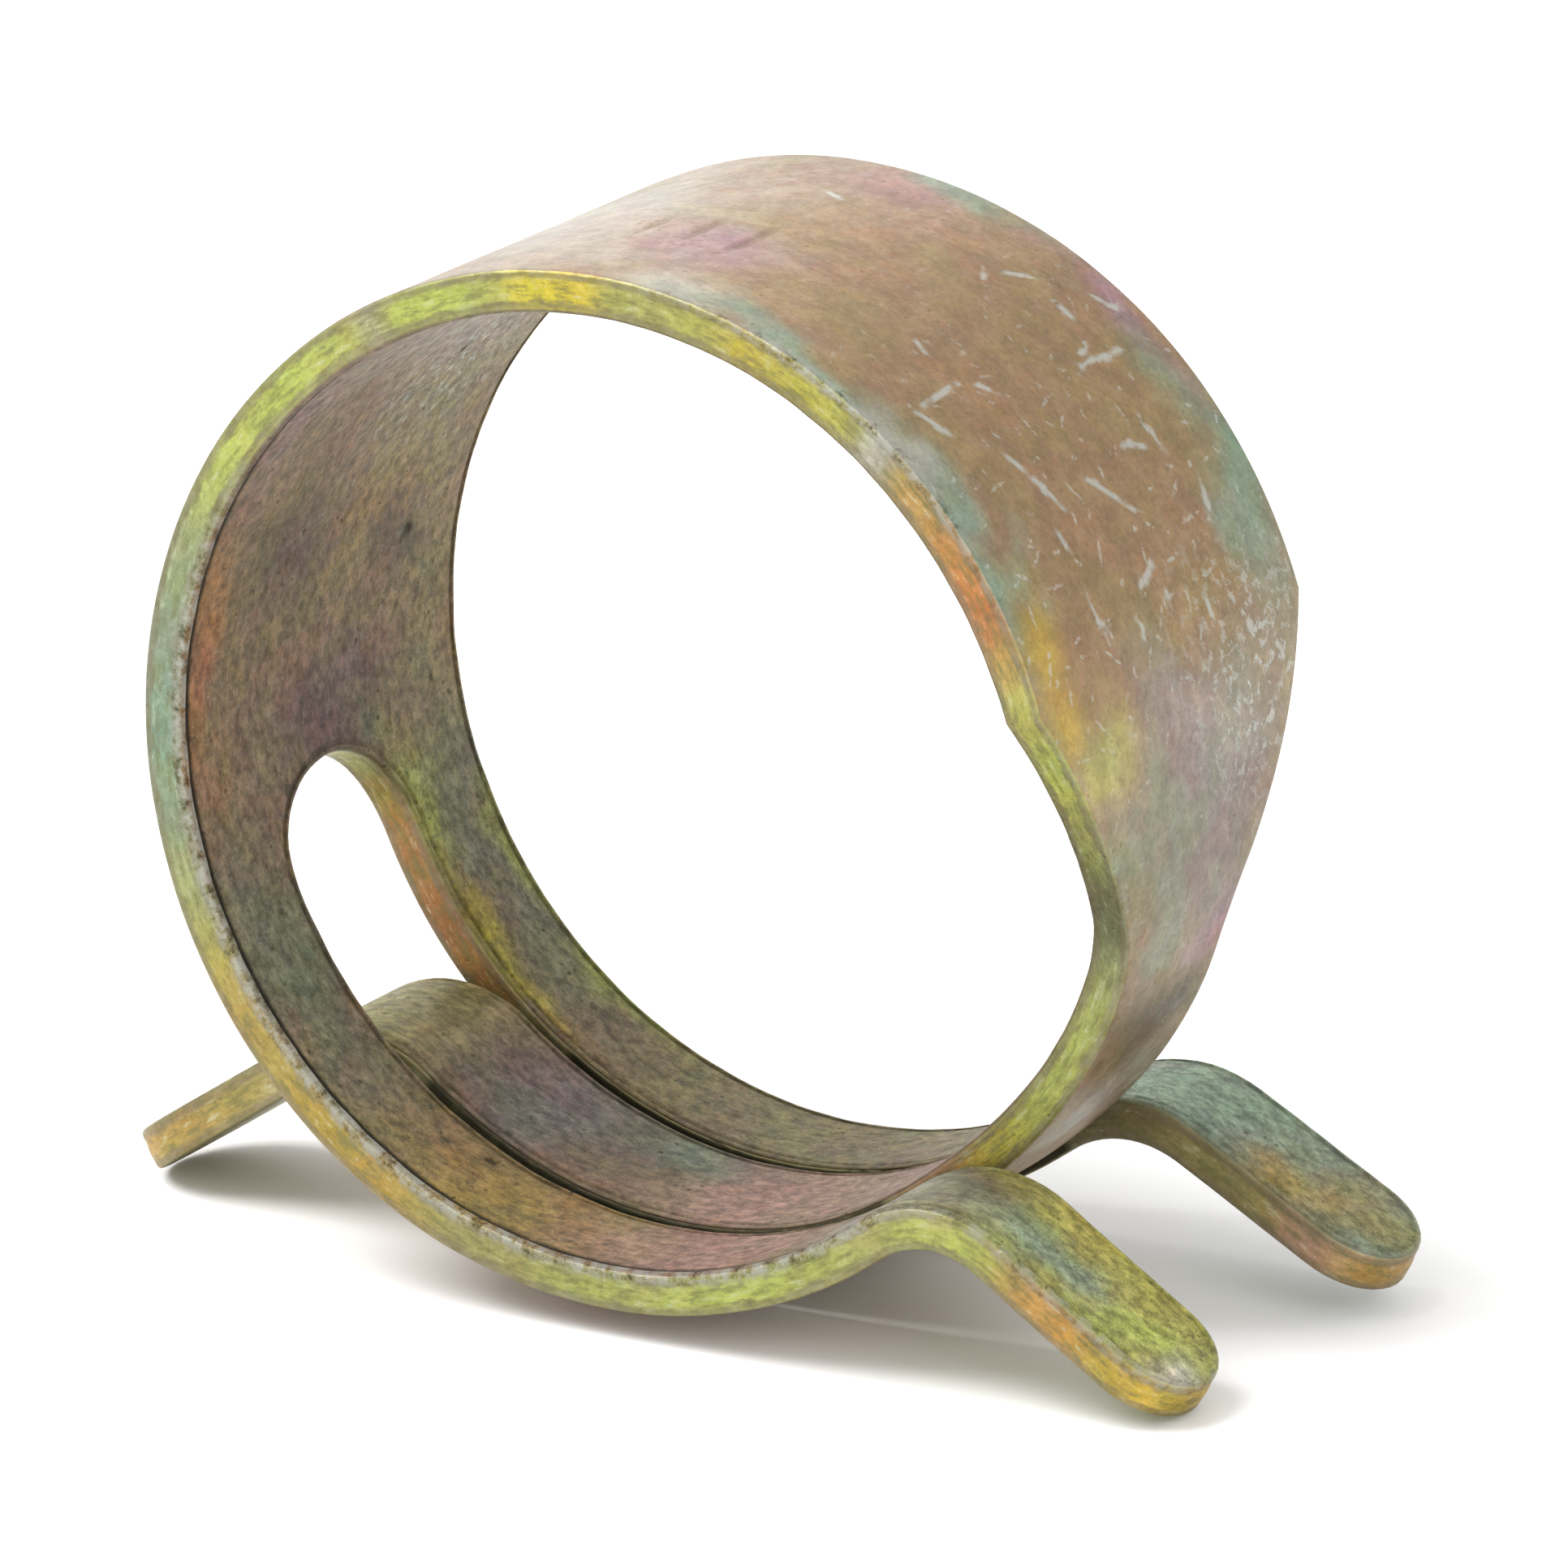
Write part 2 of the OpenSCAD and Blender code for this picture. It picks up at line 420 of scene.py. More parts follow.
def face_triangles(loop, cuts):
    """The broad faces' points inside the loop, and triangles that index the loop and then those."""
    cut_lines = []
    for u, y in cuts:
        low, high = next(s for s in strands(u) if s[0] <= y <= s[1])
        cut_lines.append((u, low + RIM_INSET, high - RIM_INSET))
    plain, cut_rows = face_points(loop, cut_lines)
    flat = [tuple(p) for p in loop] + [tuple(p) for p in plain]
    links = []
    for (u, y0, y1), row in zip(cut_lines, cut_rows):
        ends = [int(np.argmin(((loop - (u, y)) ** 2).sum(1))) for y in (y0, y1)]
        ids = [ends[0]] + list(range(len(flat), len(flat) + len(row))) + [ends[1]]
        flat += row
        links += list(zip(ids, ids[1:]))
    border = list(range(len(loop)))[::-1]
    _, _, tris, origin, _, _ = delaunay_2d_cdt([Vector(p) for p in flat], links, [border], 1, 1e-5)
    source = np.array([o[0] for o in origin])
    return np.array(flat[len(loop):]), source[np.array(tris)]


def blank_mesh(cuts):
    """The whole strip on the blank: points as u, y, h; triangles and quads; the profile's shares."""
    edge = outline([u for u, _ in cuts])
    profile = rim_profile()
    n, m = len(edge), len(profile)
    rim = rim_points(edge, profile)
    grid = np.arange(n * m).reshape(n, m)
    after = np.roll(grid, -1, 0)
    quads = np.stack([grid[:, :-1], grid[:, 1:], after[:, 1:], after[:, :-1]], -1).reshape(-1, 4)

    extra, tris = face_triangles(rim[:, 0, :2], cuts)
    faces, points = [list(q) for q in quads], [rim.reshape(-1, 3)]
    start = n * m
    for height, column, flip in ((STRIP_T / 2, 0, True), (-STRIP_T / 2, m - 1, False)):
        ids = np.concatenate([grid[:, column], np.arange(start, start + len(extra))])
        points.append(np.column_stack([extra, np.full(len(extra), height)]))
        mapped = ids[tris]
        faces += (mapped[:, ::-1] if flip else mapped).tolist()
        start += len(extra)
    points = np.concatenate(points)
    shares = np.zeros((len(points), 4))
    shares[: n * m] = np.tile(profile[:, 2:], (n, 1))
    return points, faces, shares.T


# ---------------------------------------------------------------- plating colours

def srgb(r, g, b):
    """A linear colour from an sRGB one in 0 to 255."""
    return np.array([((c / 255 + 0.055) / 1.055) ** 2.4 if c > 10 else c / 3295 for c in (r, g, b)])


BROWN = srgb(168, 138, 98)
OCHRE = srgb(172, 146, 84)
OLIVE = srgb(158, 154, 98)
LIME = srgb(192, 206, 96)
YELLOW = srgb(226, 208, 50)
GOLD = srgb(204, 168, 66)
ORANGE = srgb(204, 122, 58)
GREEN_GREY = srgb(144, 154, 126)
TEAL = srgb(142, 174, 152)
MAUVE = srgb(180, 142, 152)
PINK = srgb(200, 158, 142)
PURPLE_BROWN = srgb(128, 106, 102)
DARK_BROWN = srgb(92, 80, 66)
DARK_OLIVE = srgb(100, 98, 70)
PALE = srgb(212, 208, 198)
BLUE_GREY = srgb(170, 178, 182)

# The film's interference colours, from thin to thick
FILM = [
    (0.30, srgb(110, 138, 104)),
    (0.44, srgb(150, 134, 92)),
    (0.52, srgb(142, 124, 112)),
    (0.60, srgb(158, 108, 104)),
    (0.72, srgb(160, 134, 58)),
]
SMEAR_DARK = srgb(112, 112, 74)
SMEAR_PALE = srgb(190, 192, 160)
RIM_BORDER = srgb(118, 108, 84)
STAIN = DARK_OLIVE * 0.45
PIT = srgb(52, 44, 34)
STAMP_BROWN = srgb(112, 90, 62)
NICK_ZINC = srgb(194, 197, 190)
LIP_ZINC = srgb(168, 168, 158)
# Dark colour for dirt on the rubbed lips, for the darkened grooves and for painted shade in the gap
# beside the tongue
DIRT_AND_SHADE = srgb(36, 32, 24)

OUTSIDE, INSIDE, EDGE = 1, -1, 0

# Where the plating's colour changes, with a painted highlight on the crown and painted shade inside the
# left side: face, angle, place across (-1 front, 1 rear), their spreads, colour and strength. Later
# patches lie over earlier ones.
PATCHES = [
    # Painted highlight: the whitish top of the crown's outside, where it catches a grazing reflection
    (OUTSIDE, 106, 0.0, 16, 1.2, PALE, 0.9),
    (OUTSIDE, 84, -0.4, 7, 0.3, MAUVE, 0.9),
    (OUTSIDE, 80, -0.85, 8, 0.2, PALE, 0.7),
    (OUTSIDE, 64, -0.95, 16, 0.12, TEAL, 0.8),
    (OUTSIDE, 48, -0.97, 10, 0.08, PALE, 0.9),
    (OUTSIDE, 33, -0.93, 14, 0.12, TEAL, 1.0),
    (OUTSIDE, 19, -0.86, 6, 0.16, GOLD, 0.9),
    (OUTSIDE, 10, -0.6, 6, 0.2, LIME, 0.6),
    (OUTSIDE, 80, 0.75, 12, 0.3, MAUVE, 0.6),
    (OUTSIDE, 76, 1.0, 14, 0.12, TEAL, 0.8),
    (OUTSIDE, 52, 0.9, 9, 0.14, MAUVE, 1.0),
    (OUTSIDE, 30, 0.86, 16, 0.2, TEAL, 0.9),
    (OUTSIDE, 8, 0.2, 9, 0.6, BLUE_GREY * 0.8, 0.6),
    (OUTSIDE, -2, -0.25, 8, 0.3, GREEN_GREY, 1.0),
    (OUTSIDE, 4, -0.1, 5, 0.18, PURPLE_BROWN, 0.6),
    (OUTSIDE, -14, 0.2, 6, 0.18, MAUVE, 0.9),
    (OUTSIDE, -13, -0.2, 6, 0.2, TEAL, 0.7),
    (OUTSIDE, -25, 0.05, 7, 0.4, DARK_OLIVE * 0.75, 1.0),
    (OUTSIDE, -40, 0.0, 7, 0.4, PALE, 0.9),
    (OUTSIDE, 150, 0.0, 26, 0.9, GREEN_GREY, 0.6),
    (OUTSIDE, 215, -0.7, 16, 0.5, OCHRE, 0.7),
    (OUTSIDE, 255, 0.6, 22, 0.5, PINK, 0.6),
    (OUTSIDE, -90, 0.0, 26, 0.5, OLIVE, 0.7),
    (INSIDE, 126, 0.1, 12, 1.2, PALE, 0.5),
    (INSIDE, 140, -0.8, 12, 0.22, MAUVE, 0.7),
    (INSIDE, 148, 0.45, 14, 0.4, OLIVE, 0.9),
    (INSIDE, 160, 0.3, 8, 0.4, OCHRE, 0.9),
    (INSIDE, 152, -0.25, 8, 0.22, BROWN * 0.8, 0.7),
    # Painted shade over the plating's own darker tone: the dark patch inside the left side
    (INSIDE, 163, -0.3, 9, 0.3, DARK_BROWN, 0.85),
    (INSIDE, 174, -0.88, 16, 0.13, ORANGE, 0.8),
    # Painted shade over the plating's own purple-brown tone, inside the lower left side
    (INSIDE, 187, 0.0, 10, 0.5, PURPLE_BROWN * 0.85, 1.0),
    (INSIDE, 212, -0.7, 20, 0.35, GREEN_GREY * 0.9, 1.0),
    (INSIDE, 212, 0.75, 26, 0.3, GREEN_GREY, 0.9),
    (INSIDE, 200, 0.5, 8, 0.12, LIME, 0.9),
    (INSIDE, 222, 0.98, 28, 0.1, LIME, 0.9),
    (INSIDE, 222, 0.46, 16, 0.06, YELLOW, 0.8),
    (INSIDE, 255, -0.7, 18, 0.35, GOLD, 0.8),
    (INSIDE, 278, -0.7, 12, 0.35, PINK * 1.2, 0.9),
    (INSIDE, 264, 0.75, 24, 0.35, OLIVE * 1.15, 0.8),
    (INSIDE, 302, -0.7, 10, 0.35, PALE, 0.7),
    (INSIDE, 90, 0.0, 22, 1.2, GREEN_GREY, 0.7),
    (INSIDE, 40, 0.0, 26, 1.2, OLIVE, 0.8),
    (INSIDE, -118, 0.0, 14, 0.5, PURPLE_BROWN, 0.7),
    (INSIDE, -100, 0.1, 9, 0.3, DARK_OLIVE * 1.2, 0.6),
    (INSIDE, -84, 0.0, 14, 0.5, PINK * 1.25, 0.9),
    (INSIDE, -60, 0.0, 13, 0.5, PINK, 0.8),
    (EDGE, 31, -1.0, 14, 0.3, ORANGE, 1.0),
    (EDGE, 51, -1.0, 4, 0.3, PALE * 0.8, 1.0),
    (EDGE, 66, -1.0, 10, 0.3, YELLOW * 0.8, 0.7),
    (EDGE, 93, -1.0, 7, 0.3, YELLOW, 1.0),
    (EDGE, 108, -1.0, 6, 0.3, LIME, 1.0),
    (EDGE, 120, -1.0, 4, 0.3, PALE * 0.8, 0.8),
    (EDGE, 136, -1.0, 16, 0.3, LIME, 1.0),
    (EDGE, 178, -1.0, 22, 0.3, TEAL * 0.9, 1.0),
    (EDGE, 228, -1.0, 22, 0.3, GOLD * 0.85, 0.9),
    (EDGE, 252, -1.0, 9, 0.3, OLIVE, 0.7),
    (EDGE, 12, -0.8, 9, 0.6, LIME, 1.0),
    (EDGE, -12, -0.4, 10, 0.3, GREEN_GREY * 0.8, 0.9),
    (EDGE, -36, -0.4, 12, 0.3, LIME * 0.9, 0.8),
    (EDGE, -52, -0.4, 9, 0.3, GOLD, 0.9),
    (EDGE, 215, 0.45, 22, 0.1, ORANGE * 0.7, 0.9),
    (EDGE, 286, -1.0, 10, 0.3, LIME, 0.8),
    (EDGE, 60, 1.0, 22, 0.3, ORANGE * 0.9, 0.7),
    (EDGE, 118, 1.0, 18, 0.3, YELLOW * 0.8, 0.7),
    (EDGE, 176, 1.0, 20, 0.3, TEAL * 0.9, 0.8),
    (EDGE, 240, 1.0, 24, 0.3, GOLD * 0.8, 0.8),
    (INSIDE, 166, 0.5, 6, 0.2, DARK_OLIVE * 0.7, 0.8),
    (INSIDE, -117, 0.0, 9, 0.4, BLUE_GREY * 0.75, 0.6),
    (INSIDE, -101, 0.25, 8, 0.16, TEAL * 0.9, 0.8),
    (INSIDE, 276, -0.7, 14, 0.3, PINK * 1.25, 0.5),
    (INSIDE, -83, 0.0, 12, 0.4, PINK * 1.25, 0.6),
    (OUTSIDE, -4, 0.25, 10, 0.4, BLUE_GREY * 0.65, 0.6),
    # On the ears, the angle runs on past the bend at the same rate as round the ring
    (INSIDE, 312, -0.7, 6, 0.3, DARK_OLIVE * 0.8, 0.9),
    (INSIDE, 324, -0.80, 9, 0.13, TEAL * 0.9, 0.9),
    (INSIDE, 330, -0.52, 12, 0.12, GOLD * 0.5 + LIME * 0.4, 0.8),
    (INSIDE, 339, -0.7, 7, 0.3, LIME * 0.85, 0.8),
    (INSIDE, 347, -0.84, 3, 0.2, PALE, 0.8),
    (EDGE, 316, -1.0, 8, 0.4, LIME * 0.9, 0.8),
    (EDGE, 333, -1.0, 6, 0.4, ORANGE * 0.5 + GOLD * 0.5, 0.8),
    (EDGE, 345, -0.7, 5, 0.4, YELLOW * 0.85, 0.8),
    (INSIDE, 304, 0.7, 6, 0.3, PALE, 0.7),
    (INSIDE, 322, 0.72, 10, 0.3, TEAL * 0.9, 0.9),
    (INSIDE, 336, 0.54, 7, 0.13, GOLD * 0.8, 0.9),
    (INSIDE, 343, 0.7, 5, 0.25, OLIVE, 0.9),
    (EDGE, 314, 0.43, 8, 0.2, DARK_OLIVE, 0.8),
    (EDGE, 330, 0.43, 8, 0.2, OLIVE * 0.8, 0.8),
    (EDGE, 343, 0.5, 5, 0.25, PINK, 0.7),
    (EDGE, -46, -0.4, 6, 0.3, YELLOW * 0.8, 0.7),
    (EDGE, -56, -0.4, 7, 0.3, ORANGE * 0.9, 0.9),
]
GROUND = {OUTSIDE: BROWN, INSIDE: BROWN * 0.8 + OLIVE * 0.2, EDGE: LIME * 0.5 + OLIVE * 0.5}
# Painted shade: how much each face's colour is darkened, the inside of the ring most, where the shade
# falls
PAINTED_FACE_SHADE = {OUTSIDE: 0.86, INSIDE: 0.56, EDGE: 0.80}

# The film is thinner on the ears, and their edges are golder at the tips
EAR_DEPTH = 0.92
EAR_GROUND = {
    "front": (OLIVE * 0.5 + LIME * 0.4, GOLD * 0.7 + ORANGE * 0.1),
    "rear": (GREEN_GREY * 0.5 + TEAL * 0.4, GOLD * 0.6 + ORANGE * 0.1),
    "tongue": (OLIVE * 0.9, GOLD * 0.75),
}


def ear_tints(name, ear, u, y, side, tint):
    """The plating's colours past a limb's root."""
    past = (u - ear.root_u) * ear.side
    patchy = 0.25 * waves(u, y, 1.6, 31.0) + 0.12 * waves(u, y, 0.6, 32.0)
    reach = abs(ear.tip_u - ear.root_u) + ear.tip_r
    far = np.clip(past / reach + patchy, 0, 1)[:, None]
    face, edge_end = EAR_GROUND[name]
    edge = OLIVE * 0.9 + (edge_end - OLIVE * 0.9) * far
    mine = np.where((side == EDGE)[:, None], edge, face * EAR_DEPTH)
    share = np.clip((past + 1.0 + 4 * patchy) / 2.0, 0, 1)[:, None]
    return tint + (mine - tint) * share


def tints(u, y, h, rim):
    """The plating's linear colour at each vertex, with painted shade that darkens the inside most, and
    painted highlight and shade among the patches.
    """
    angle = round_ring(u)
    across = y / HALF_W
    side = np.where(rim > 0.6, EDGE, np.where(h > 0, OUTSIDE, INSIDE))
    # Painted shade: each face's colour is darkened by its factor; the ears get one lighter factor on
    # every face
    depth = np.array([PAINTED_FACE_SHADE[s] for s in side])
    depth[np.abs(u) > TONGUE_L] = EAR_DEPTH
    # Darker still inside the rear leg and outside the taper
    depth -= depth * 0.08 * (side == INSIDE) * bump(angle, 255, 20) * (y > 0)
    depth -= depth * 0.33 * (side == OUTSIDE) * bump(angle, -8, 18)
    tint = np.array([GROUND[s] for s in side]) * depth[:, None]
    for name, ear, mine in (
        ("tongue", TONGUE, u < 0),
        ("front", FRONT, (u > 0) & (y < 0)),
        ("rear", REAR, (u > 0) & (y >= 0)),
    ):
        tint[mine] = ear_tints(name, ear, u[mine], y[mine], side[mine], tint[mine])
    wobble_u = 7 * waves(u, y, 3.0, 21.0) + 3 * waves(u, y, 0.9, 22.0)
    wobble_y = 0.22 * waves(u, y, 2.6, 23.0) + 0.08 * waves(u, y, 0.8, 24.0)
    # Each patch's colour is darkened by the same painted shade as its face
    for face, a, c, spread_a, spread_c, colour, strength in PATCHES:
        d = ((angle + wobble_u - a) / spread_a) ** 2 + ((across + wobble_y - c) / spread_c) ** 2
        share = strength * np.exp(-(d**1.4)) * (side == face)
        tint += (colour * depth[:, None] - tint) * share[:, None]
    return tint


# ---------------------------------------------------------------- the plated steel

class Nodes:
    """Short ways to add shader nodes."""

    def __init__(self, tree):
        self.tree = tree

    def add(self, kind, inputs=(), **settings):
        n = self.tree.nodes.new(kind)
        for key, value in settings.items():
            setattr(n, key, value)
        for key, value in dict(inputs).items():
            if isinstance(value, bpy.types.NodeSocket):
                self.tree.links.new(value, n.inputs[key])
            else:
                n.inputs[key].default_value = value
        return n

    def attribute(self, name, output):
        return self.add("ShaderNodeAttribute", attribute_name=name).outputs[output]

    def math(self, operation, a, b=0.0, clamp=False):
        n = self.add("ShaderNodeMath", {0: a, 1: b}, operation=operation, use_clamp=clamp)
        return n.outputs[0]

    def times(self, a, b):
        return self.math("MULTIPLY", a, b)

    def plus(self, a, b):
        return self.math("ADD", a, b)

    def minus(self, a, b):
        return self.math("SUBTRACT", a, b)

    def most(self, a, b):
        return self.math("MAXIMUM", a, b)

    def moved(self, vector, stretch, shift):
        n = self.add("ShaderNodeMapping", {"Vector": vector, "Scale": stretch, "Location": shift})
        return n.outputs[0]

    def noise(self, vector, scale, detail, roughness, stretch=(1, 1, 1), shift=(0, 0, 0)):
        moved = self.moved(vector, stretch, shift)
        n = self.add("ShaderNodeTexNoise", {
            "Vector": moved, "Scale": scale, "Detail": detail, "Roughness": roughness,
        })
        return n.outputs["Fac"]

    def cells(self, vector, scale, shift):
        moved = self.moved(vector, (1, 1, 1), shift)
        n = self.add("ShaderNodeTexVoronoi", {"Vector": moved, "Scale": scale}, feature="F1")
        return n.outputs["Distance"]

    def span(self, value, low, high, to_low=0.0, to_high=1.0):
        """A value from low to high, eased on to to_low to to_high."""
        n = self.add("ShaderNodeMapRange", {
            "Value": value, "From Min": low, "From Max": high,
            "To Min": to_low, "To Max": to_high,
        }, interpolation_type="SMOOTHSTEP")
        return n.outputs[0]

    def mix(self, share, a, b, blend="MIX"):
        """Colour a turned to colour b by a share."""
        n = self.add("ShaderNodeMix", {"Factor": share}, data_type="RGBA", blend_type=blend)
        for key, value in ((6, a), (7, b)):
            if isinstance(value, bpy.types.NodeSocket):
                self.tree.links.new(value, n.inputs[key])
            else:
                n.inputs[key].default_value = (*value, 1)
        return n.outputs[2]

    def grey(self, value):
        n = self.add("ShaderNodeCombineColor", {0: value, 1: value, 2: value})
        return n.outputs[0]

    def shade(self, colour, value):
        """A colour made darker or lighter by a factor."""
        return self.mix(1.0, colour, self.grey(value), "MULTIPLY")


def random_nicks(t, place, scale, share, length, width, seed):
    """One short straight nick in each cell of a scatter, turned at random, in a share of the cells."""
    warp = t.add("ShaderNodeTexNoise", {"Vector": place, "Scale": 2.6, "Detail": 3.0})
    place = t.mix(0.16, place, warp.outputs["Color"], "ADD")
    moved = t.moved(place, (1, 1, 1), (seed, seed, 0))
    cell = t.add("ShaderNodeTexVoronoi", {"Vector": moved, "Scale": scale})
    local = t.add("ShaderNodeVectorMath", {0: moved, 1: cell.outputs["Position"]},
                  operation="SUBTRACT").outputs[0]
    luck = t.add("ShaderNodeSeparateColor", {0: cell.outputs["Color"]})
    turned = t.add("ShaderNodeVectorRotate", {
        "Vector": local, "Angle": t.times(luck.outputs[0], math.tau),
    }, rotation_type="Z_AXIS").outputs[0]
    sized = t.add("ShaderNodeVectorMath", {0: turned, 1: (2 / length, 2 / width, 0)},
                  operation="MULTIPLY").outputs[0]
    far = t.add("ShaderNodeVectorMath", {0: sized}, operation="LENGTH").outputs["Value"]
    return t.times(t.span(far, 1.1, 0.7), t.math("LESS_THAN", luck.outputs[1], share))


def cloudy_film(t, place, colour):
    """The yellow film's interference colours, drifting over the plating's main colours."""
    cloud = t.noise(place, 0.55, 6.0, 0.62)
    film = t.add("ShaderNodeValToRGB", {"Fac": cloud})
    ramp = film.color_ramp
    while len(ramp.elements) < len(FILM):
        ramp.elements.new(0.5)
    for element, (at, c) in zip(ramp.elements, FILM):
        element.position = at
        element.color = (*c, 1)
    return t.mix(0.22, colour, film.outputs["Color"])


def grained(t, place, inner, colour):
    """The colour with satin grain, a crumpled grain inside and soft clouds, and all three noises."""
    grain = t.noise(place, 6.5, 8.0, 0.75)
    colour = t.shade(colour, t.span(grain, 0.30, 0.70, 0.84, 1.16))
    crumple = t.noise(place, 3.4, 8.0, 0.82, stretch=(0.8, 1.1, 1), shift=(7, 3, 0))
    crumpled = t.grey(t.span(crumple, 0.36, 0.66, 0.52, 1.46))
    colour = t.mix(1.0, colour, t.mix(inner, (1, 1, 1), crumpled), "MULTIPLY")
    clouds = t.noise(place, 1.4, 5.0, 0.6, shift=(40, 8, 0))
    colour = t.shade(colour, t.span(clouds, 0.3, 0.7, 0.86, 1.12))
    return colour, grain, crumple, clouds


def sheared(t, place, rim, colour):
    """The colour with the sheared edge's smears and its dark borders, and the smears."""
    smear = t.noise(place, 1.7, 7.0, 0.7, stretch=(0.8, 1, 3.2), shift=(1, 9, 0))
    colour = t.mix(t.times(rim, t.span(smear, 0.46, 0.62, 0, 0.65)), colour, SMEAR_DARK)
    colour = t.mix(t.times(rim, t.span(smear, 0.44, 0.34, 0, 0.5)), colour, SMEAR_PALE)
    height_on_rim = t.add("ShaderNodeSeparateXYZ", {0: place}).outputs[2]
    off_middle = t.math("ABSOLUTE", t.plus(height_on_rim, -0.03))
    off_middle = t.plus(off_middle, t.times(smear, 0.3))
    border = t.times(rim, t.span(off_middle, 0.34, 0.50, 0, 0.6))
    return t.mix(border, colour, RIM_BORDER), smear


def stained(t, place, inner, clouds, colour):
    """The colour with dark stains and pits, and the pits."""
    stain = t.noise(place, 1.15, 6.0, 0.78, shift=(31, 17, 0))
    share = t.times(t.span(stain, 0.58, 0.70), t.span(inner, 0, 1, 0.3, 0.8))
    colour = t.mix(share, colour, STAIN)
    fine = t.cells(place, 2.8, shift=(9, 12, 0))
    fine = t.times(t.span(fine, 0.24, 0.10), t.span(clouds, 0.50, 0.62))
    fine = t.times(fine, t.span(inner, 0, 1, 0.25, 0.7))
    pits = t.most(t.attribute("pit", "Fac"), fine)
    return t.mix(t.times(pits, 0.8), colour, PIT), pits


def nicked(t, place, rim, grain, colour):
    """The colour with pale nicks and chips, where the film is knocked through, and the nicks."""
    few = random_nicks(t, place, 0.8, 0.45, 0.75, 0.11, 11.3)
    more = random_nicks(t, place, 1.5, 0.3, 0.32, 0.12, 5.7)
    scattered = t.times(t.most(few, more), t.attribute("handled", "Fac"))
    scattered = t.times(scattered, t.minus(1.0, rim))
    scattered = t.times(scattered, t.span(grain, 0.44, 0.58, 0.1, 0.75))
    nicks = t.most(t.attribute("nick", "Fac"), scattered)
    chip = t.noise(place, 3.4, 6.0, 0.72, shift=(13, 29, 0))
    chips = t.times(t.span(chip, 0.52, 0.61), t.attribute("speckle", "Fac"))
    nicks = t.most(nicks, t.times(chips, 0.95))
    return t.mix(t.times(nicks, 0.72), colour, NICK_ZINC), nicks


def worn(t, place, wear, colour):
    """The colour with lips rubbed to bare zinc, dirt on the rubbed lips, darkened grooves and painted
    shade in the gap beside the tongue, and the rubbing.
    """
    rub = t.noise(place, 2.1, 6.0, 0.75, shift=(2, 5, 0))
    colour = t.mix(t.times(wear, t.span(rub, 0.43, 0.58, 0.0, 0.9)), colour, LIP_ZINC)
    dirt = t.times(wear, t.span(rub, 0.45, 0.38, 0, 0.75))
    # The groove attribute holds the darkened groove and the painted shade in the gap beside the tongue
    in_groove = t.times(t.attribute("groove", "Fac"), t.span(rub, 0.3, 0.5, 0.75, 1))
    return t.mix(t.most(dirt, in_groove), colour, DIRT_AND_SHADE), rub


def plated_steel():
    """Satin zinc plate under a thin yellow film: cloudy colours, grain, nicks, stains and worn lips."""
    material = bpy.data.materials.new("plated_strip")
    material.use_nodes = True
    t = Nodes(material.node_tree)
    shader = material.node_tree.nodes["Principled BSDF"]
    place = t.attribute("strip", "Vector")
    inner = t.attribute("inner", "Fac")
    rim = t.attribute("rim", "Fac")
    wear = t.attribute("wear", "Fac")

    colour = cloudy_film(t, place, t.attribute("tint", "Color"))
    colour, grain, crumple, clouds = grained(t, place, inner, colour)
    colour, smear = sheared(t, place, rim, colour)
    colour, pits = stained(t, place, inner, clouds, colour)
    colour = t.mix(t.span(t.attribute("stamp", "Fac"), 0.1, 0.8, 0, 0.45), colour, STAMP_BROWN)
    colour, nicks = nicked(t, place, rim, grain, colour)
    colour, rub = worn(t, place, wear, colour)

    # Pits are duller and nicks brighter than the film
    patchy = t.noise(place, 2.8, 5.0, 0.7, shift=(50, 0, 0))
    dull = t.minus(t.span(patchy, 0.3, 0.7, 0.34, 0.52), t.times(nicks, 0.08))
    dull = t.math("ADD", dull, t.times(pits, 0.25), clamp=True)

    # Relief, in millimetres
    height = t.times(grain, 0.012)
    height = t.plus(height, t.times(t.times(crumple, inner), 0.09))
    height = t.plus(height, t.times(t.times(smear, rim), 0.04))
    height = t.minus(height, t.times(nicks, 0.014))
    height = t.minus(height, t.times(pits, 0.05))
    height = t.plus(height, t.times(t.times(rub, wear), 0.05))
    relief = t.add("ShaderNodeBump", {"Height": height, "Distance": MM, "Strength": 1.0})

    links = material.node_tree.links
    links.new(colour, shader.inputs["Base Color"])
    links.new(dull, shader.inputs["Roughness"])
    links.new(relief.outputs[0], shader.inputs["Normal"])
    shader.inputs["Metallic"].default_value = 0.82
    return material


# ---------------------------------------------------------------- wear, by place on the blank

# The worn part of the front edge, in from the strip's side, where the groove is darker too
FRONT_EDGE_W = 0.6


def lip_wear(u, y, outer_wear, inner_wear):
    """How far each place on the strip's edges is worn to bare zinc."""
    angle = round_ring(u)
    front = (y < -SLOT_R - 0.8) | (np.abs(angle) < 40)
    on_legs = 0.7 * front * np.clip((angle - 140) / 25, 0, 1)
    on_ears = -0.35 * front * (u > TONGUE_L)
    on_crown = 0.8 * (y < -HALF_W + FRONT_EDGE_W) * bump(angle, 55, 34)
    return np.clip(outer_wear * (0.18 + on_crown) + inner_wear * (0.12 + on_legs + on_ears), 0, 1)


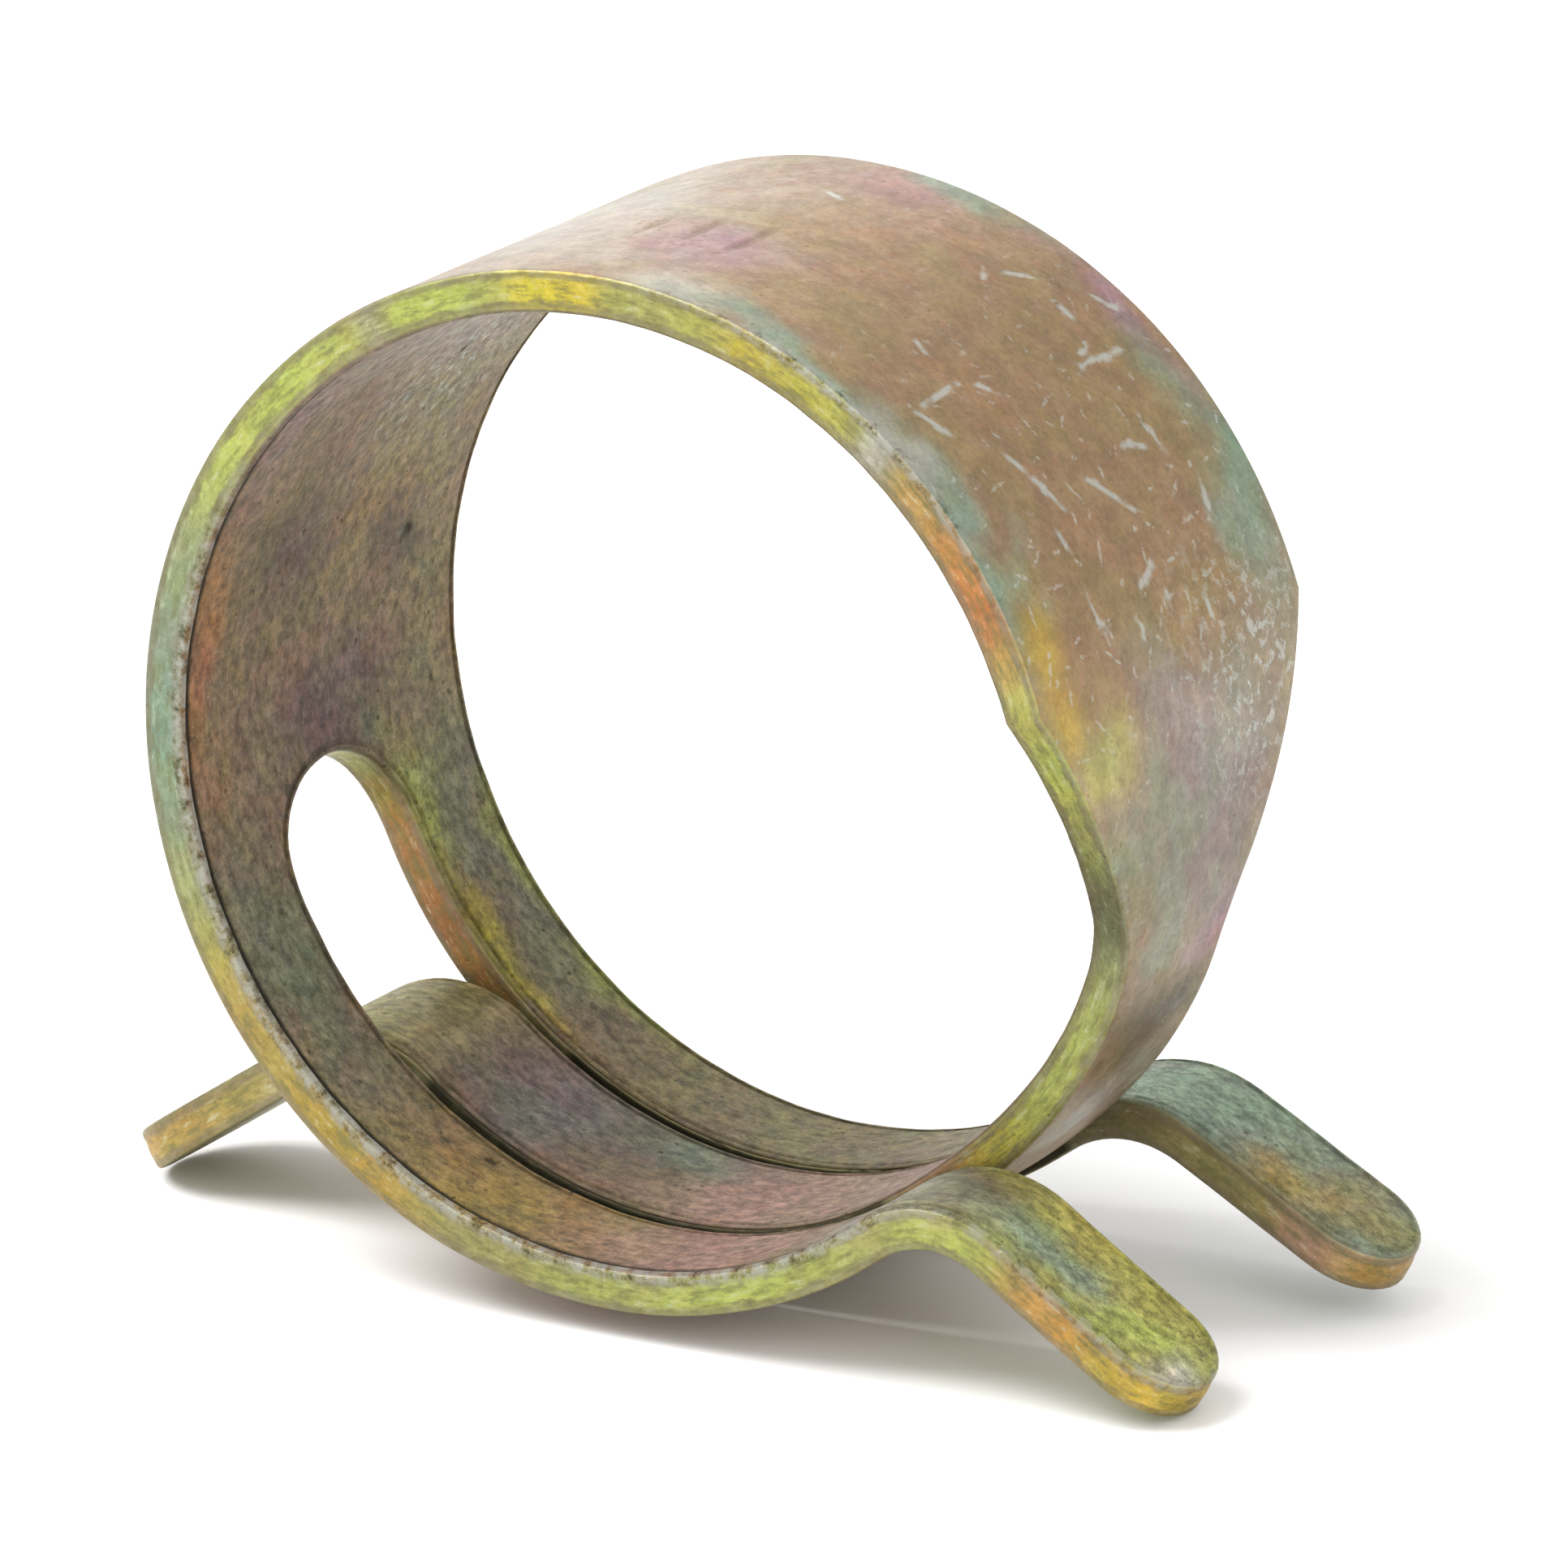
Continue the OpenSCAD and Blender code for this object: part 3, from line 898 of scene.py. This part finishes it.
def groove_darkening_and_gap_shade(u, y, rim, groove):
    """How dark each place is painted: the groove inside the lips, darker at the front edge, and the
    narrow gap beside the tongue, where it is painted shade.
    """
    angle = round_ring(u)
    on_ring = np.clip((TONGUE_L - np.abs(u)) / 1.5 + 0.8, 0.15, 1)
    at_front = (y < -HALF_W + FRONT_EDGE_W) * np.clip((angle - 105) / 20, 0, 1)
    # Painted shade: the edge walls in the narrow gap beside the tongue are painted dark
    in_gap = (np.abs(y) < SLOT_R + 0.06) & ((angle > 236) | (angle < -62))
    in_gap &= (np.abs(u) < TONGUE_L - 0.3) & (rim > 0.5)
    return np.maximum(groove * on_ring * (0.35 + 0.65 * at_front), 0.85 * in_gap)


def handling(u, h):
    """How many small nicks each place has: most on the right-hand outside."""
    return np.where(h > 0, 0.12 + 0.88 * bump(round_ring(u), 30, 50), 0.2)


def chipping(u, y, h):
    """Where the film has chipped off in specks: outside on the right, and inside at the upper left."""
    angle = round_ring(u)
    outside = bump(angle, 12, 22) * bump(y, 3.5, 5) * (h > 0)
    return outside + bump(angle, 138, 22) * bump(y, 2.0, 4.5) * (h < 0) * 0.8


def surface_fields(blank, shares, stamp):
    """The material's attributes at every point of the blank: a kind and the values of each."""
    u, y, h = blank.T
    rim, outer_wear, inner_wear, groove = shares
    on_face = rim < ON_FACE
    values = {
        "rim": rim,
        "inner": np.clip(0.5 - h / STRIP_T * 1.2, 0, 1) * (rim < 0.6),
        "wear": lip_wear(u, y, outer_wear, inner_wear),
        "groove": groove_darkening_and_gap_shade(u, y, rim, groove),
        "nick": mark_strength(u, y, NICK_MARKS) * on_face * (h > 0),
        "pit": mark_strength(u, y, PIT_MARKS) * on_face * (h < 0),
        "stamp": stamp,
        "handled": handling(u, h),
        "speckle": chipping(u, y, h),
    }
    tint = np.column_stack([tints(u, y, h, rim), np.ones(len(u))])
    fields = {"strip": ("FLOAT_VECTOR", blank), "tint": ("FLOAT_COLOR", tint)}
    fields.update({name: ("FLOAT", value) for name, value in values.items()})
    return fields


# ---------------------------------------------------------------- the clamp's pieces


# (name, first and last angle or ear, side of the slot, joint it bends at or body, CAD nodes)
FRONT_SIDE, REAR_SIDE, WHOLE = -1, 1, 0
PIECES = [
    ("crown_to_left_band", 90, 124, WHOLE, "crown_left_flex", ["crown_band"]),
    ("left_upper_strip", 124, 158, WHOLE, "left_upper_flex", ["left_upper_band"]),
    ("left_side_strip", 158, 188, WHOLE, "left_side_flex", ["left_side_band"]),
    ("slot_root_strip", 188, 226, WHOLE, "slot_root_flex",
     ["slot_root", "front_leg_upper", "rear_leg_upper"]),
    ("front_leg_strip", 226, 260, FRONT_SIDE, "fork_upper_flex", ["front_leg_middle"]),
    ("rear_leg_strip", 226, 260, REAR_SIDE, "fork_upper_flex", ["rear_leg_middle"]),
    ("front_leg_end", 260, FRONT, FRONT_SIDE, "fork_middle_flex", ["front_leg_lower"]),
    ("rear_leg_end", 260, REAR, REAR_SIDE, "fork_middle_flex", ["rear_leg_lower"]),
    ("front_ear_bend", FRONT, 360, FRONT_SIDE, "fork_lower", ["front_ear"]),
    ("rear_ear_bend", REAR, 360, REAR_SIDE, "fork_lower", ["rear_ear"]),
    ("crown_to_right_band", 90, 56, WHOLE, "crown_right_flex", ["right_upper_band"]),
    ("right_side_strip", 56, 22, WHOLE, "right_upper_flex", ["right_side_band"]),
    ("taper_strip", 22, -24, WHOLE, "right_side_flex", ["taper"]),
    ("tongue_upper_strip", -24, -46, WHOLE, "taper_flex", ["tongue_upper"]),
    ("tongue_middle_strip", -46, -80, WHOLE, "tongue_upper_flex", ["tongue_middle"]),
    ("tongue_end", -80, TONGUE, WHOLE, "tongue_middle_flex", ["tongue_lower"]),
    ("tongue_ear_bend", TONGUE, -200, WHOLE, "tongue_lower", ["tongue_ear"]),
]


def end_u(end):
    """How far along the strip a piece's end is."""
    return end.root_u if isinstance(end, Ear) else along(end)


def cut_places():
    """(u, y) of every cut between pieces, one for each strand that it crosses."""
    return sorted({(end_u(start), side * (HALF_W + SLOT_R) / 2)
                   for _, start, _, side, _, _ in PIECES})


def vertex_normals(points, faces):
    """Area-weighted normals of a mesh of triangles and quads."""
    total = np.zeros_like(points)
    for size in (3, 4):
        some = np.array([f for f in faces if len(f) == size])
        corners = [points[some[:, k]] for k in range(size)]
        if size == 4:
            across = np.cross(corners[2] - corners[0], corners[3] - corners[1])
        else:
            across = np.cross(corners[1] - corners[0], corners[2] - corners[0])
        for k in range(size):
            np.add.at(total, some[:, k], across)
    return total / np.linalg.norm(total, axis=1)[:, None]


def closed_mesh(name, ids, faces, points):
    """A mesh of some of the strip's faces, with its cut ends closed."""
    order = {v: i for i, v in enumerate(ids)}
    bm = bmesh.new()
    for v in ids:
        bm.verts.new(points[v] * MM)
    bm.verts.ensure_lookup_table()
    for f in faces:
        bm.faces.new([bm.verts[order[v]] for v in f])
    open_edges = [e for e in bm.edges if len(e.link_faces) == 1]
    caps = bmesh.ops.holes_fill(bm, edges=open_edges, sides=0)["faces"]
    bmesh.ops.triangulate(bm, faces=caps)
    mesh = bpy.data.meshes.new(name)
    bm.to_mesh(mesh)
    bm.free()
    return mesh


def make_piece(name, ids, faces, points, normals, fields, material):
    """One closed piece cut from the whole strip, shaded as if it were not cut."""
    mesh = closed_mesh(name, ids, faces, points)
    for p in mesh.polygons:
        p.use_smooth = True
    for key, (kind, values) in fields.items():
        layer = mesh.attributes.new(key, kind, "POINT")
        field = {"FLOAT_COLOR": "color", "FLOAT_VECTOR": "vector", "FLOAT": "value"}[kind]
        layer.data.foreach_set(field, values[ids].astype(np.float32).ravel())
    shown = []
    for p in mesh.polygons:
        on_strip = p.index < len(faces)
        for i in p.loop_indices:
            v = ids[mesh.loops[i].vertex_index]
            shown.append(tuple(normals[v] if on_strip else p.normal))
    mesh.normals_split_custom_set(shown)
    mesh.materials.append(material)
    obj = bpy.data.objects.new(name, mesh)
    bpy.context.scene.collection.objects.link(obj)
    return obj


def make_clamp():
    """All the pieces of the strip, each riding on its body, or baked in place where it meets a joint."""
    blank, faces, shares = blank_mesh(cut_places())
    u, y, h = blank.T
    on_top = (shares[0] < ON_FACE) * (h > 0)
    stamp = np.clip(1.3 - mark_distance(u, y, STAMP_MARKS), 0, 1) * on_top
    points = bent(u, y, h + unevenness(u, y) - STAMP_DEPTH * np.sqrt(stamp))
    normals = vertex_normals(points, faces)
    fields = surface_fields(blank, shares, stamp)
    material = plated_steel()
    joints = {j["name"]: j for j in frame["joints"]}
    centre = np.array([blank[f].mean(0) for f in faces])
    for name, start, end, side, mover, nodes in PIECES:
        low, high = sorted((end_u(start), end_u(end)))
        mine = (centre[:, 0] > low) & (centre[:, 0] < high)
        if side != WHOLE:
            mine &= centre[:, 1] * side > 0
        own = [faces[i] for i in np.flatnonzero(mine)]
        ids = np.array(sorted({v for f in own for v in f}))
        piece = make_piece(name, ids, own, points, normals, fields, material)
        if mover in joints:
            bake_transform(piece)
        else:
            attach(piece, mover)
        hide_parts(*nodes)


# ---------------------------------------------------------------- the studio

ROOM_BRIGHTNESS = 0.85
# name, place, size and power
LIGHTS = [
    ("key", (-0.25, -0.15, 0.45), 0.35, 3.0),
    ("fill", (0.45, -0.25, 0.25), 0.3, 1.0),
    ("back", (-0.30, 0.45, 0.28), 0.4, 0.45),
]

# The camera's place round the clamp in degrees, its distance in outside radii, and where it points
CAMERA_AZIMUTH = 31.56
CAMERA_ELEVATION = 17.61
CAMERA_FAR = 22.98
CAMERA_PITCH = 72.144
CAMERA_YAW = 31.295
LENS = 281.96
# The photographed clamp leans a little to one side, which tilting the camera about Y gives
LEAN = 1.5


def make_floor():
    """A plain pale floor under the ears."""
    bpy.ops.mesh.primitive_plane_add(size=4, location=(0, 0, FLOOR_Z))
    floor = bpy.context.object
    floor.name = "floor"
    material = bpy.data.materials.new("floor")
    material.use_nodes = True
    shader = material.node_tree.nodes["Principled BSDF"]
    shader.inputs["Base Color"].default_value = (0.93, 0.93, 0.93, 1)
    shader.inputs["Roughness"].default_value = 0.9
    shader.inputs["Specular IOR Level"].default_value = 0.1
    floor.data.materials.append(material)


def area_light(name, location, size, power):
    """A soft square light aimed at the clamp."""
    light = bpy.data.lights.new(name, "AREA")
    light.size = size
    light.energy = power
    obj = bpy.data.objects.new(name, light)
    obj.location = location
    obj.rotation_euler = (-Vector(location)).to_track_quat("-Z", "Y").to_euler()
    bpy.context.scene.collection.objects.link(obj)


def make_light():
    """A bright room with a large key above, a weak fill on the right and a weaker back light."""
    world = bpy.data.worlds.new("studio")
    bpy.context.scene.world = world
    world.use_nodes = True
    background = world.node_tree.nodes["Background"]
    background.inputs["Color"].default_value = (1, 1, 1, 1)
    background.inputs["Strength"].default_value = ROOM_BRIGHTNESS
    for light in LIGHTS:
        area_light(*light)


def make_camera():
    """The photographed view: a long lens, a little above the ring and to its right."""
    azimuth, elevation = math.radians(CAMERA_AZIMUTH), math.radians(CAMERA_ELEVATION)
    place = CAMERA_FAR * OUTER_R * MM * Vector((
        math.sin(azimuth) * math.cos(elevation),
        -math.cos(azimuth) * math.cos(elevation),
        math.sin(elevation),
    ))
    camera = bpy.data.cameras.new("camera")
    camera.lens = LENS
    camera.sensor_width = 36
    camera.clip_start, camera.clip_end = 0.01, 20
    obj = bpy.data.objects.new("camera", camera)
    aim = Euler((math.radians(CAMERA_PITCH), 0, math.radians(CAMERA_YAW))).to_matrix().to_4x4()
    level = Matrix.Rotation(math.radians(LEAN), 4, "Y")
    obj.matrix_world = level @ Matrix.Translation(place) @ aim
    bpy.context.scene.collection.objects.link(obj)
    bpy.context.scene.camera = obj


bpy.context.scene.view_settings.view_transform = "Standard"
make_camera()
make_clamp()
make_floor()
make_light()
